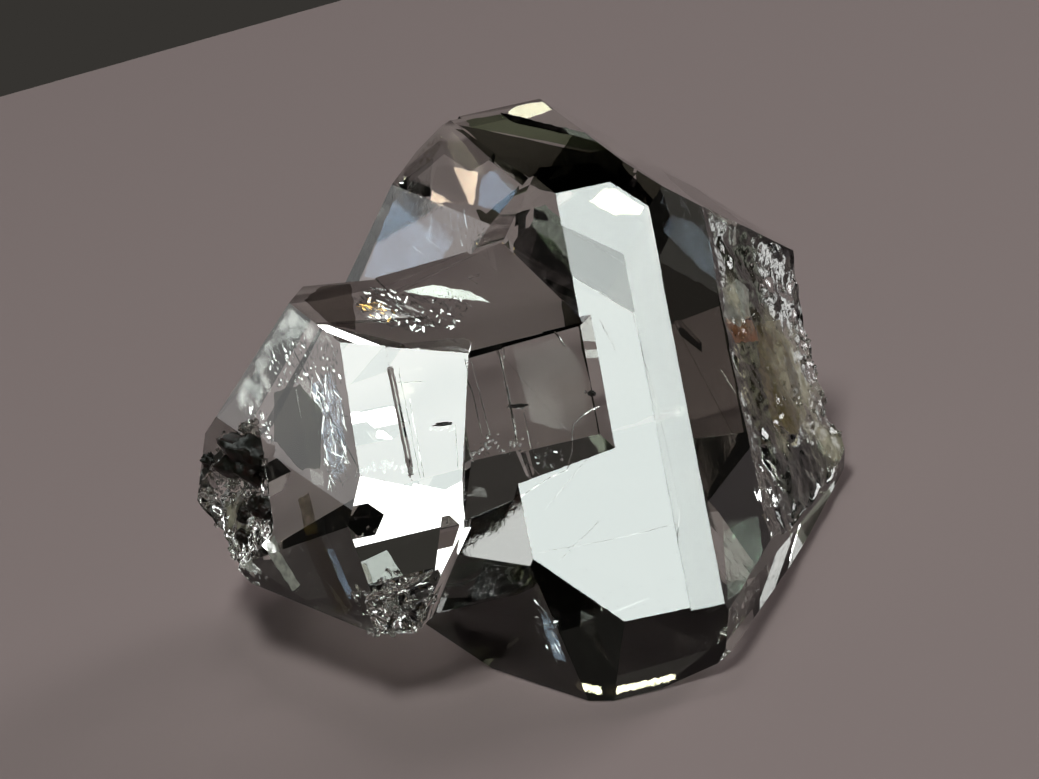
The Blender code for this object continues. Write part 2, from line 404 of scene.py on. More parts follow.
# cracks, stained films and sheets of painted shade inside the stone, each with the face that it is seen
# behind, its outline in pixels of the photograph and its depth in mm. The shadow look and the grey, darker
# grey and deep green films are painted shade; the top band's green film is partly a real green band, partly
# painted shade. Those with a turn lean to an azimuth and a polar angle, the others lie along the face. A
# hidden one has a plane in crystal mm, with its corners on it
cracks = {
    # painted shade: a near-black sheet behind the left prism, which darkens what is seen there
    "shadowCrack": {"behind": "leftPrism", "depth": 2.9, "turn": (-9, 62), "look": "shadow",
        "outline": ((515, 214), (545, 205), (579, 236), (578, 306), (548, 296), (513, 262))},
    "shadowWedge": {"behind": "leftShoulder", "depth": 1.4, "turn": (-3, 59), "look": "airGap",
        "outline": ((392, 186), (413, 178), (434, 166), (430, 198))},
    "peachPane": {"behind": "leftShoulder", "depth": 1.5, "turn": (-20, 85), "look": "peach",
        "outline": ((430, 201), (436, 168), (478, 172), (474, 208))},
    "stripedPane": {"behind": "leftShoulder", "depth": 1.7, "turn": (-20, 85), "look": "striped",
        "outline": ((440, 164), (452, 134), (500, 165), (480, 174))},
    "lavenderPane": {"behind": "leftShoulder", "depth": 1.5, "turn": (-20, 85), "look": "milk",
        "outline": ((478, 206), (482, 176), (505, 166), (520, 190), (500, 212))},
    "milkVeil": {"behind": "etchedFlank", "depth": 2.6, "turn": (-23, 89), "look": "milk",
        "outline": ((364, 276), (397, 188), (432, 203), (470, 216), (440, 262), (405, 287))},
    "topFlash": {"behind": "topFace", "depth": 0.5, "turn": (0, 74), "look": "cream",
        "outline": ((503, 117), (516, 106), (545, 101), (562, 105), (546, 112), (528, 118))},
    # painted shade: a near-black sheet under the top face
    "topShadow": {"behind": "topFace", "depth": 0.7, "turn": (13, 54), "look": "shadow",
        "outline": ((500, 113), (520, 117), (560, 127), (602, 137), (606, 143), (560, 133), (512, 122))},
    "palePane": {"behind": "rightPrism", "depth": 1.4, "turn": (28, 91), "look": "haze",
        "outline": ((660, 226), (672, 215), (692, 222), (714, 244), (731, 262), (724, 286), (702, 270),
                    (676, 244))},
    "breakPane": {"behind": "rightPrism", "depth": 1.1, "turn": (28, 92), "look": "breakPale",
        "outline": ((726, 284), (742, 276), (756, 286), (757, 312), (744, 322), (728, 316))},
    "breakClay": {"behind": "rightPrism", "depth": 0.9, "look": "paleClay",
        "outline": ((726, 286), (742, 276), (756, 284), (758, 314), (744, 324), (727, 314))},
    "breakClayPeach": {"behind": "rightPrism", "depth": 0.95, "look": "peachClay",
        "outline": ((727, 320), (758, 318), (765, 336), (738, 340))},
    "breakClayBrown": {"behind": "rightPrism", "depth": 1.5, "look": "greyClay",
        "outline": ((762, 322), (792, 312), (808, 360), (818, 410), (804, 430), (782, 420), (768, 380))},
    "topGlow": {"behind": "frontPrism", "depth": 0.5, "turn": (0, 90), "look": "cream",
        "outline": ((588, 200), (606, 187), (646, 196), (640, 214), (612, 214))},
    "lowerPane": {"behind": "rightPrism", "depth": 1.2, "turn": (28, 88), "look": "pale",
        "outline": ((722, 522), (758, 516), (764, 560), (742, 590), (728, 600))},
    "stripPane": {"behind": "smallLeft", "depth": 0.9, "turn": (-24, 90), "look": "silk",
        "outline": ((312, 386), (330, 372), (341, 398), (346, 470), (334, 482), (322, 440))},
    "stripPaneLeft": {"behind": "smallLeft", "depth": 0.7, "turn": (-24, 90), "look": "silkPale",
        "outline": ((296, 388), (308, 378), (318, 440), (324, 486), (312, 484))},
    "brownPane": {"behind": "smallLower", "depth": 0.8, "turn": (-28, 103), "look": "brownClay",
        "outline": ((288, 504), (300, 500), (352, 606), (344, 616))},
    "bluePane": {"behind": "smallLower", "depth": 0.9, "turn": (-28, 103), "look": "milk",
        "outline": ((306, 516), (318, 518), (352, 590), (350, 600))},
    "shardPane": {"behind": "smallLower", "depth": 0.5, "turn": (-28, 103), "look": "paleClay",
        "outline": ((262, 545), (272, 540), (300, 585), (292, 590))},
    "lowPane": {"behind": "smallLower", "depth": 0.5, "turn": (-28, 103), "look": "paleClay",
        "outline": ((224, 545), (240, 546), (262, 574), (246, 570))},
    "sheenPane": {"behind": "smallRight", "depth": 0.6, "turn": (4, 92), "look": "veil",
        "outline": ((512, 346), (560, 338), (580, 360), (588, 420), (566, 432), (530, 420))},
    "rimPane": {"behind": "lowerLeft", "depth": 0.5, "turn": (-28, 101), "look": "silk",
        "outline": ((540, 606), (552, 622), (566, 662), (556, 660), (544, 632))},
    # painted shade: a darker grey film behind the back face, which dims what is seen through it
    "backShadeVeil": {"plane": (180, 90, 10.1), "look": "darkShadeFilm",
        "corners": ((0.3, -0.2), (0.3, 6.2), (-0.4, 8.6), (-1.4, 10.6), (-3.9, 11.0), (-4.0, 0.4))},
    # painted shade: a darker grey film that dims the window in the small crystal's left face
    "windowShadow": {"behind": "smallLeft", "depth": 0.3, "look": "darkShadeFilm",
        "outline": ((274, 392), (300, 385), (322, 410), (320, 468), (300, 470), (274, 440))},
    # painted shade: a grey film that dims what is seen through the right prism
    "rightShade": {"behind": "rightPrism", "depth": 0.3, "look": "greyShadeFilm",
        "outline": ((660, 262), (690, 278), (716, 292), (728, 330), (742, 400), (757, 512), (705, 512),
                    (690, 440), (672, 330))},
    # painted shade: a grey film under the small crystal's shoulder
    "shoulderShade": {"behind": "smallShoulder", "depth": 0.25, "look": "greyShadeFilm",
        "outline": ((304, 300), (322, 286), (350, 284), (357, 330), (332, 326))},
    "brownBand": {"behind": "smallLower", "depth": 0.3, "look": "oliveFilm",
        "outline": ((292, 512), (308, 508), (350, 606), (336, 616))},
    "breakStain": {"behind": "rightPrism", "depth": 1.0, "look": "stainFilm",
        "outline": ((735, 330), (765, 300), (790, 310), (815, 380), (805, 440), (770, 440), (745, 390))},
    "peachStain": {"behind": "rightPrism", "depth": 0.9, "look": "peachFilm",
        "outline": ((724, 316), (760, 314), (764, 336), (740, 342))},
    # partly a real green band, partly painted shade: a green film that also dims the top face
    "topBand": {"behind": "topFace", "depth": 0.4, "look": "greenBandShadeFilm",
        "outline": ((466, 120), (500, 115), (600, 143), (622, 152), (590, 150), (470, 127))},
    # painted shade: a darker grey film that dims all of the top face
    "topPaintedShade": {"behind": "topFace", "depth": 0.4, "look": "darkShadeFilm",
        "outline": ((460, 125), (590, 153), (610, 149), (638, 165), (622, 182), (580, 190), (540, 183),
                    (505, 165))},
    # painted shade, tinted green: deep green films that darken the lower left face nearly to black
    "lowerGreenShade": {"behind": "lowerLeft", "depth": 0.3, "look": "deepGreenShadeFilm",
        "outline": ((440, 600), (500, 572), (520, 600), (506, 650), (470, 640))},
    "lowerGreenShadeRight": {"behind": "lowerLeft", "depth": 0.6, "look": "deepGreenShadeFilm",
        "outline": ((512, 580), (536, 590), (560, 660), (520, 655))},
    "whiteSliver": {"behind": "smallTop", "depth": 0.55, "turn": (0, 75), "look": "sliver",
        "outline": ((402, 291), (432, 285), (470, 291), (490, 302), (440, 298))},
}
crackShape = {
    "thickness": 0.02,  # mm
    "wave": 0.012,  # mm
    "waveLength": 1.6,  # mm
    "ragged": 0.10,  # mm
    "raggedPerMm": 3.0,
    "cover": 0.04,  # mm of quartz left over a crack
}

# swarms of small bright flakes in healed cracks, just under a face: the way that the flakes lean, by
# how many degrees it varies, and their length and width in mm
flakes = {
    "featherFlakes": {"behind": "smallTop", "depth": 0.35, "look": "silver",
        "tilt": (0, 75), "jitter": 12, "count": 90, "size": (0.5, 0.1),
        "outline": ((430, 296), (446, 290), (470, 304), (462, 326), (430, 336))},
    "shoulderFlakes": {"behind": "smallShoulder", "depth": 0.3, "look": "silver",
        "tilt": (6, 72), "jitter": 10, "count": 190, "size": (0.75, 0.12),
        "outline": ((352, 300), (366, 286), (400, 290), (430, 300), (430, 332), (392, 328), (360, 318))},
    "shoulderGold": {"behind": "smallShoulder", "depth": 0.25, "look": "gold",
        "tilt": (6, 72), "jitter": 6, "count": 40, "size": (0.8, 0.12),
        "outline": ((355, 304), (372, 298), (396, 310), (390, 324), (362, 316))},
    "windowFlakes": {"behind": "smallLeft", "depth": 0.3, "look": "silver",
        "tilt": (-24, 90), "jitter": 9, "count": 230, "size": (1.1, 0.1),
        "outline": ((310, 386), (330, 366), (342, 398), (348, 480), (330, 486), (320, 440))},
    "clusterFlakes": {"behind": "smallLeft", "depth": 0.3, "look": "silver",
        "tilt": (-24, 90), "jitter": 11, "count": 240, "size": (0.34, 0.12),
        "outline": ((268, 350), (300, 334), (336, 346), (342, 384), (326, 368), (300, 384), (270, 388))},
    "lowShardFlakes": {"behind": "smallLeft", "depth": 0.3, "look": "silver",
        "tilt": (-24, 90), "jitter": 9, "count": 60, "size": (0.45, 0.16),
        "outline": ((242, 410), (262, 404), (272, 420), (276, 452), (266, 440), (246, 432))},
    "paleFlank": {"behind": "smallLeft", "depth": 0.22, "look": "silkPale",
        "tilt": (-24, 90), "jitter": 2, "count": 150, "size": (1.3, 0.8),
        "outline": ((236, 398), (262, 330), (292, 304), (330, 338), (296, 336), (268, 352), (268, 392),
                    (242, 414))},
    "rimFlakes": {"behind": "lowerLeft", "depth": 0.3, "look": "silver",
        "tilt": (-28, 102), "jitter": 12, "count": 60, "size": (0.5, 0.12),
        "outline": ((536, 596), (552, 620), (568, 664), (552, 662), (532, 625))},
    "etchFlakes": {"behind": "etchedFlank", "depth": 0.3, "look": "soft",
        "tilt": (-23, 88), "jitter": 8, "count": 46, "size": (1.6, 0.08),
        "outline": ((405, 280), (415, 240), (440, 215), (468, 213), (470, 236), (430, 280))},
    "creamWedge": {"behind": "leftShoulder", "depth": 0.1, "look": "cream",
        "tilt": (-20, 85), "jitter": 2, "count": 170, "size": (0.34, 0.26),
        "outline": ((400, 180), (424, 148), (438, 134), (444, 138), (432, 160), (412, 176))},
    "bottomRim": {"behind": "lowerMiddle", "depth": 0.2, "look": "cream",
        "tilt": (-12, 100), "jitter": 2, "count": 150, "size": (0.26, 0.22),
        "outline": ((566, 681), (600, 688), (600, 694), (566, 686))},
    "bottomRimRight": {"behind": "lowerFront", "depth": 0.16, "look": "cream",
        "tilt": (0, 105), "jitter": 2, "count": 260, "size": (0.26, 0.22),
        "outline": ((606, 690), (674, 676), (676, 679), (606, 695))},
    "stripFlakes": {"behind": "rightLower", "depth": 0.3, "look": "silver",
        "tilt": (36, 96), "jitter": 8, "count": 24, "size": (0.6, 0.2),
        "outline": ((790, 520), (836, 459), (846, 482), (796, 535))},
    "lowerFlakes": {"behind": "rightPrism", "depth": 0.5, "look": "green",
        "tilt": (29, 90), "jitter": 12, "count": 30, "size": (0.5, 0.2),
        "outline": ((722, 522), (758, 516), (764, 560), (742, 590), (728, 600))},
    "rightFlakes": {"behind": "rightPrism", "depth": 0.7, "look": "stain",
        "tilt": (29, 90), "jitter": 24, "count": 160, "size": (0.45, 0.16),
        "outline": ((716, 300), (735, 270), (770, 280), (800, 350), (822, 420), (800, 470), (775, 440),
                    (745, 360))},
    "streakFlakes": {"behind": "rightPrism", "depth": 0.4, "look": "soft",
        "tilt": (29, 90), "jitter": 8, "count": 50, "size": (1.0, 0.07),
        "outline": ((655, 196), (690, 200), (740, 240), (724, 272), (690, 240))},
    "goldenFlakes": {"behind": "leftPrism", "depth": 0.4, "look": "golden",
        "tilt": (-28, 88), "jitter": 6, "count": 50, "size": (0.6, 0.08),
        "outline": ((490, 238), (508, 233), (516, 256), (508, 270), (496, 258))},
    "lowFlakes": {"behind": "smallLower", "depth": 0.2, "look": "silver",
        "tilt": (-29, 103), "jitter": 8, "count": 30, "size": (0.6, 0.25),
        "outline": ((225, 546), (240, 548), (262, 572), (285, 590), (240, 566))},
    "seamFlakes": {"behind": "smallSeam", "depth": 0.2, "look": "silver",
        "tilt": (3, 108), "jitter": 14, "count": 30, "size": (0.3, 0.12),
        "outline": ((480, 446), (520, 440), (566, 452), (560, 470), (520, 462), (482, 456))},
}
flakeShape = {
    "thickness": 0.01,  # mm
    "spread": 0.15,  # mm of depth over which a swarm is spread
    "cover": 0.02,  # mm of quartz left over a flake
}

# what each kind of crack or flake does to light: tint, share that it mirrors, roughness
crackLooks = {
    "silver": ("#ffffff", 0.55, 0.10),
    "soft": ("#dfe9f6", 0.10, 0.20),
    "cream": ("#fff3d6", 0.080, 0.05),
    "peach": ("#ffdcc4", 0.075, 0.08),
    "striped": ("#e8d8c0", 0.010, 0.10),
    "milk": ("#b9d0f4", 0.027, 0.12),
    "silk": ("#cfe2ff", 0.028, 0.10),
    "silkPale": ("#f1f0ee", 0.020, 0.12),
    "haze": ("#c4d2e6", 0.016, 0.12),
    "sliver": ("#f2f6f0", 0.090, 0.10),
    "golden": ("#e8c98a", 0.10, 0.12),
    "veil": ("#f2ecea", 0.020, 0.15),
    "pale": ("#e6f2e6", 0.025, 0.15),
    "breakPale": ("#eaf4e8", 0.045, 0.25),
    "green": ("#bfe0c4", 0.20, 0.15),
    "gold": ("#e0b368", 0.30, 0.10),
    "stain": ("#d8cfb4", 0.12, 0.25),
    # painted shade, not a crack: a near-black sheet that mirrors almost all light in a dim tint and lets
    # almost none through
    "shadow": ("#30322e", 0.97, 0.05),
}
# clay in a crack is seen as a dull veil: tint and how much it covers
clayLooks = {
    "brownClay": ("#8a7236", 0.45),
    "paleClay": ("#f2f5ea", 0.85),
    "peachClay": ("#e6cbb4", 0.70),
    "greyClay": ("#d2c7ac", 0.90),
}
# films only filter what is seen through them, once at each of their two sides. The olive, stain and peach
# films are real stains; the grey, darker grey and deep green ones are painted shade, and the green one is
# partly a real green band, partly painted shade
filmLooks = {
    # painted shade: grey
    "greyShadeFilm": "#cbc8c5",
    "oliveFilm": "#b9b38f",
    "stainFilm": "#eeeadc",
    "peachFilm": "#f8e8da",
    # partly a real green tint, partly painted shade
    "greenBandShadeFilm": "#d2dccb",
    # painted shade: darker grey
    "darkShadeFilm": "#a8aaa2",
    # painted shade, tinted green
    "deepGreenShadeFilm": "#8a9685",
}


# what covers only patches of a crack: how wide they are in mm, how finely they fray, the levels of the
# pattern between which they fade in, and the share that stays between them
patchLooks = {
    "gas": {"wide": 1 / 1.4, "fray": 3.0, "levels": (0.35, 0.60), "least": 0.75},
    "clay": {"wide": 0.4, "fray": 5.0, "levels": (0.38, 0.62), "least": 0.50},
}


def patchyMaterial(name, patches, share, kind, settings):
    material, tree = newMaterial(name)
    filling = addNode(tree, kind, settings)
    clear = addNode(tree, "ShaderNodeBsdfTransparent")
    pattern = addNode(tree, "ShaderNodeTexNoise", {"Scale": 1 / patches["wide"], "Detail": patches["fray"]},
                      {"Vector": crystalPlace(tree)})
    amount = addNode(tree, "ShaderNodeMapRange", {
        "From Min": patches["levels"][0],
        "From Max": patches["levels"][1],
        "To Min": share * patches["least"],
        "To Max": share,
    }, {"Value": pattern.outputs[0]})
    blend = addNode(tree, "ShaderNodeMixShader", links={0: amount.outputs[0], 1: clear.outputs[0],
                                                        2: filling.outputs[0]})
    addNode(tree, "ShaderNodeOutputMaterial", links={"Surface": blend.outputs[0]})
    return material


# healed cracks: a thin film of gas that mirrors part of the light and lets the rest through. The shadow look
# is painted shade instead, a near-black sheet
def crackMaterial(name):
    tint, share, roughness = crackLooks[name]
    return patchyMaterial(name + "HealedCrack", patchLooks["gas"], share, "ShaderNodeBsdfGlossy",
                          {"Color": srgb(tint), "Roughness": roughness})


# clay-filled cracks: dull and soft, they catch light from all sides
def clayMaterial(name):
    tint, cover = clayLooks[name]
    return patchyMaterial(name + "Crack", patchLooks["clay"], cover, "ShaderNodeBsdfDiffuse",
                          {"Color": srgb(tint)})


# films in a crack, seen as a thin coloured veil: iron or clay stains, and painted shade that darkens what is
# seen through it
def filmMaterial(name):
    material, tree = newMaterial(name + "InCrack")
    veil = addNode(tree, "ShaderNodeBsdfTransparent", {"Color": srgb(filmLooks[name])})
    addNode(tree, "ShaderNodeOutputMaterial", links={"Surface": veil.outputs[0]})
    return material


# open cracks and bubbles: a gap of air in the quartz, black or mirror-bright past the critical angle
def airMaterial():
    material, tree = newMaterial("airGapInQuartz")
    shader = addNode(tree, "ShaderNodeBsdfGlass", {"Roughness": 0.0, "IOR": 1 / quartzIor})
    addNode(tree, "ShaderNodeOutputMaterial", links={"Surface": shader.outputs[0]})
    return material


def stoneSurface(quartz):
    return BVHTree.FromPolygons([v.co[:] for v in quartz.data.vertices],
                                [p.vertices[:] for p in quartz.data.polygons])


def depthInside(surface, place):  # mm under the nearest face, negative outside the stone
    nearest, normal = surface.find_nearest(place)[:2]
    return (nearest - place).dot(normal) / mm


elsewhere = Vector((31.4, 17.2, 5.3))  # far enough off to be another stretch of the same noise


def makeCrack(name, crack, material, surface):
    plane, corners = layOut(crack)
    place = onFace(*plane)
    bm = bmesh.new()
    outline = bm.faces.new([bm.verts.new((u, v, 0.0)) for u, v in corners])
    bmesh.ops.triangulate(bm, faces=[outline])
    bmesh.ops.subdivide_edges(bm, edges=bm.edges[:], cuts=7, use_grid_fill=True)
    for vert in bm.verts:
        spot = vert.co.copy()
        wave = noise.noise(spot / crackShape["waveLength"]) * crackShape["wave"]
        if vert.is_boundary:
            near = spot * crackShape["raggedPerMm"]
            drift = Vector((noise.noise(near), noise.noise(near + elsewhere), 0.0))
            spot += drift * crackShape["ragged"]
        vert.co = Vector((spot.x, spot.y, wave))
    for vert in bm.verts:
        vert.co = inWorld(place @ vert.co)
    outside = [vert for vert in bm.verts if depthInside(surface, vert.co) < crackShape["cover"]]
    bmesh.ops.delete(bm, geom=outside, context="VERTS")
    bmesh.ops.solidify(bm, geom=bm.faces[:], thickness=crackShape["thickness"] * mm)
    return finishPiece(name, bm, material, smooth=True)


def insidePolygon(u, v, corners):
    inside = False
    for (a, b), (c, d) in zip(corners, corners[1:] + corners[:1]):
        if (b > v) != (d > v) and u < a + (v - b) * (c - a) / (d - b):
            inside = not inside
    return inside


def makeFlakes(name, swarm, material, surface, dice):
    plane, corners = layOut(swarm)
    place = onFace(*plane)
    spanU = [min(u for u, v in corners), max(u for u, v in corners)]
    spanV = [min(v for u, v in corners), max(v for u, v in corners)]
    bm = bmesh.new()
    made = 0
    while made < swarm["count"]:
        u, v = dice.uniform(*spanU), dice.uniform(*spanV)
        if not insidePolygon(u, v, corners):
            continue
        made += 1
        azimuth = swarm["tilt"][0] + dice.gauss(0, swarm["jitter"] * 0.5)
        polar = swarm["tilt"][1] + dice.gauss(0, swarm["jitter"] * 0.5)
        middle = place @ Vector((u, v, dice.uniform(-flakeShape["spread"], 0.0)))
        turn = onFace(azimuth, polar, 0.0).to_3x3() @ Matrix.Rotation(dice.gauss(0.3, 0.5), 3, "Z")
        long = swarm["size"][0] * dice.uniform(0.3, 1.0)
        wide = swarm["size"][1] * dice.uniform(0.5, 1.0)
        sides = dice.choice((4, 5, 5, 6))
        ring = []
        for k in range(sides):
            angle = 2 * math.pi * (k + dice.uniform(-0.25, 0.25)) / sides
            flat = Vector((math.cos(angle) * wide / 2, math.sin(angle) * long / 2, 0))
            ring.append(inWorld(middle + turn @ flat))
        if min(depthInside(surface, corner) for corner in ring) < flakeShape["cover"]:
            continue
        face = bm.faces.new([bm.verts.new(corner) for corner in ring])
        bmesh.ops.solidify(bm, geom=[face], thickness=flakeShape["thickness"] * mm)
    return finishPiece(name, bm, material)


# lines where growth layers end, scratches and the seam between the crystals: fine ridges, each with
# its face, its width and height in mm, and its run in pixels of the photograph
ridgeLines = (
    ("frontPrism", 0.030, 0.004, ((563, 225), (632, 268))),
    ("frontPrism", 0.030, 0.004, ((575, 278), (632, 312), (645, 360), (665, 440), (679, 508), (677, 564))),
    ("frontPrism", 0.025, 0.003, ((539, 553), (609, 540), (680, 523))),
    ("frontPrism", 0.045, 0.012, ((592, 412), (575, 430), (567, 470), (545, 480), (520, 497))),
    ("frontPrism", 0.030, 0.006, ((648, 235), (656, 270))),
    ("frontPrism", 0.030, 0.008, ((600, 320), (615, 350))),
    ("frontPrism", 0.030, 0.006, ((590, 455), (545, 510))),
    ("frontPrism", 0.030, 0.008, ((560, 560), (600, 520))),
    ("smallFront", 0.260, 0.060, ((390, 367), (412, 475))),
    ("smallFront", 0.040, 0.012, ((398.2, 368.7), (420.4, 478.8))),
    ("smallFront", 0.030, 0.010, ((409.5, 398.8), (424, 478))),
    ("smallFront", 0.040, 0.010, ((395, 383), (425, 381))),
    ("smallFront", 0.050, 0.015, ((463, 352), (482, 435))),
    ("smallFront", 0.040, 0.012, ((470, 355), (490, 435))),
    ("smallFront", 0.035, 0.010, ((455, 425), (458, 468))),
    ("smallRight", 0.100, 0.040, ((499, 350), (518, 445))),
    ("smallRight", 0.040, 0.012, ((524, 412), (530, 448))),
    ("smallRight", 0.080, 0.030, ((553, 328), (565, 345))),
)
ridgeShape = {
    "step": 0.4,  # mm between the bends of a ridge
    "wander": 0.01,  # mm to either side
    "sunk": 0.01,  # mm that its foot lies under the face
    "endHeight": 0.25,  # share of the full height at its ends
}


def makeRidges(material, surface, dice):
    bm = bmesh.new()
    for name, width, height, outline in ridgeLines:
        outward = faceNormal(*faces[name][:2])
        run = [Vector(hundredths(seenOn(faces[name], x, y)[0])) for x, y in outline]
        points = []
        for start, end in zip(run, run[1:]):
            pieces = max(1, round((end - start).length / ridgeShape["step"]))
            points += [start.lerp(end, k / pieces) for k in range(pieces)]
        points.append(run[-1])
        points = [inCrystal(surface.find_nearest(inWorld(point))[0]) for point in points]
        rings = []
        for k, point in enumerate(points):
            along = (points[min(k + 1, len(points) - 1)] - points[max(k - 1, 0)]).normalized()
            side = outward.cross(along)
            fade = min(1.0, ridgeShape["endHeight"] + min(k, len(points) - 1 - k) * 0.5)
            shifted = point + side * dice.uniform(-ridgeShape["wander"], ridgeShape["wander"])
            foot = outward * ridgeShape["sunk"]
            corners = (side * width / 2 - foot, outward * height * fade, -side * width / 2 - foot)
            rings.append([bm.verts.new(inWorld(shifted + corner)) for corner in corners])
        for first, second in zip(rings, rings[1:]):
            for k in range(3):
                bm.faces.new((first[k], first[(k + 1) % 3], second[(k + 1) % 3], second[k]))
        bm.faces.new(rings[0])
        bm.faces.new(rings[-1])
    return finishPiece("growthLines", bm, material)


# rows of bubbles under the small crystal's front faces: start, end, count, largest radius in mm
bubbleRows = (
    ((5.6, -8.55, -4.44), (5.6, -7.2, -4.45), 34, 0.09),
    ((5.6, -7.2, -4.45), (5.6, -6.4, -4.97), 22, 0.08),
    ((5.7, -4.1, -4.85), (5.7, -3.0, -4.34), 26, 0.08),
    ((5.6, -2.95, -4.72), (5.5, -2.1, -4.61), 16, 0.06),
    ((5.6, -5.5, -3.3), (5.6, -4.5, -3.5), 10, 0.09),
    ((5.6, -2.4, -3.0), (5.55, -1.6, -3.2), 10, 0.08),
    ((5.3, 0.8, -3.05), (5.3, 1.1, -3.15), 5, 0.09),
    ((5.2, 2.6, 4.0), (5.2, 3.5, 1.0), 8, 0.04),
)


def makeBubbles(material, surface, dice):
    bm = bmesh.new()
    for start, end, count, largest in bubbleRows:
        for k in range(count):
            middle = Vector(start).lerp(Vector(end), dice.random())
            middle += Vector((dice.gauss(0, 0.05), dice.gauss(0, 0.10), dice.gauss(0, 0.10)))
            radius = largest * dice.uniform(0.3, 1.0)
            if depthInside(surface, inWorld(middle)) < radius:
                continue
            place = Matrix.Translation(inWorld(middle)) @ crystalTurn.to_4x4()
            long = dice.uniform(0.6, 1.8)
            size = Matrix.Diagonal((radius * mm * 0.5, radius * mm, radius * mm * long, 1.0))
            bmesh.ops.create_icosphere(bm, subdivisions=2, radius=1.0, matrix=place @ size)
    return finishPiece("bubbles", bm, material, smooth=True)


# loose grains and shelly crumbs on the breaks: middle and reach in crystal mm, count, radii in mm
crumbAreas = (
    ((-2.6, -14.6, 0.2), 3.0, 150, 0.08, 0.34),
    ((2.7, -8.6, -9.0), 1.9, 70, 0.06, 0.26),
    ((-5.6, 9.2, 1.5), 4.2, 90, 0.05, 0.20),
    ((-3.4, -14.9, -2.2), 1.6, 40, 0.06, 0.24),
)


crumbShape = {
    "sunk": 0.3,  # of its radius
    "rough": 0.22,  # of its radius
    "overPaper": 0.1,  # mm that stays clear under a crumb
}


def anyWay(dice):
    return Vector((dice.uniform(-1, 1), dice.uniform(-1, 1), dice.uniform(-1, 1)))


def makeCrumbs(material, surface, dice):
    bm = bmesh.new()
    for middle, reach, count, least, most in crumbAreas:
        for k in range(count):
            way = Vector((dice.gauss(0, 1), dice.gauss(0, 1), dice.gauss(0, 1))).normalized()
            spot = Vector(middle) + way * reach * dice.random() ** 0.5
            nearest, normal = surface.find_nearest(inWorld(spot))[:2]
            radius = dice.uniform(least, most) * dice.uniform(0.5, 1.0)
            if nearest.z < (radius + crumbShape["overPaper"]) * mm:
                continue
            place = Matrix.Translation(nearest - normal * radius * crumbShape["sunk"] * mm)
            turn = anyWay(dice).normalized().to_track_quat("Z", "Y").to_matrix().to_4x4()
            high = dice.uniform(0.5, 1.1)
            size = Matrix.Diagonal((radius * mm, radius * mm * 0.8, radius * mm * high, 1.0))
            made = bmesh.ops.create_icosphere(bm, subdivisions=1, radius=1.0, matrix=place @ turn @ size)
            for vert in made["verts"]:
                vert.co += anyWay(dice) * radius * crumbShape["rough"] * mm
    return finishPiece("crumbs", bm, material)


# carbon: black anthraxolite, a hard pitch with a dull shine, in lumps that fill their pockets or are
# caught in a face. Each lump: middle in crystal mm, half axes in mm, the nodes that it replaces
carbonLook = {
    "color": "#15140b",
    "rust": "#2c0f08",
    "rustPatch": 1 / 2.2,  # mm
    "roughness": 0.45,
    "pitWide": 1 / 6,  # mm
    "pitDepth": 0.03,  # mm
    "lumps": 0.55,  # how far its rounded lumps swell, as a share of its size
    "pimples": 0.16,
    "sunk": 0.5,  # share of its thickness that a lump without a pocket lies under the face
    "lumpWay": (114, 123),  # azimuth and polar angle of its long axis
    "chipWay": (92, 95),
}
carbonLumps = {
    "carbonLarge": ((-1.50, -13.62, 0.70), (1.30, 0.90, 0.86), ("carbon_bleb_large",)),
    "carbonSmall": ((-1.25, -13.45, -1.62), (0.58, 0.50, 0.46), ("carbon_bleb_small",)),
    "carbonTip": ((-4.40, -15.75, 2.55), (0.42, 0.36, 0.34), ()),
    "carbonLow": ((-2.75, -14.60, -0.85), (0.46, 0.36, 0.36), ()),
    "carbonLowest": ((-3.15, -14.90, -1.60), (0.34, 0.28, 0.28), ()),
    "carbonChipLeft": ((5.98, -4.95, -3.36), (0.34, 0.10, 0.08), ()),
    "carbonChipRight": ((5.76, -2.00, -3.10), (0.34, 0.10, 0.08), ()),
    "carbonDot": ((5.50, 0.95, -3.10), (0.14, 0.12, 0.12), ()),
}


def carbonMaterial():
    material, tree = newMaterial("carbonPitchLumps")
    place = crystalPlace(tree)
    spots = addNode(tree, "ShaderNodeTexNoise", {"Scale": 1 / carbonLook["rustPatch"], "Detail": 4.0},
                    {"Vector": place})
    tone = addNode(tree, "ShaderNodeValToRGB", links={"Fac": spots.outputs[0]})
    tone.color_ramp.elements[0].position = 0.48
    tone.color_ramp.elements[0].color = srgb(carbonLook["color"])
    tone.color_ramp.elements[1].position = 0.70
    tone.color_ramp.elements[1].color = srgb(carbonLook["rust"])
    pitted = addNode(tree, "ShaderNodeTexNoise", {"Scale": 1 / carbonLook["pitWide"], "Detail": 3.0},
                     {"Vector": place})
    pits = addNode(tree, "ShaderNodeBump", {"Distance": carbonLook["pitDepth"] * mm, "Strength": 0.7},
                   {"Height": pitted.outputs[0]})
    shader = addNode(tree, "ShaderNodeBsdfPrincipled", {"Roughness": carbonLook["roughness"]},
                     {"Base Color": tone.outputs[0], "Normal": pits.outputs[0]})
    addNode(tree, "ShaderNodeOutputMaterial", links={"Surface": shader.outputs[0]})
    return material


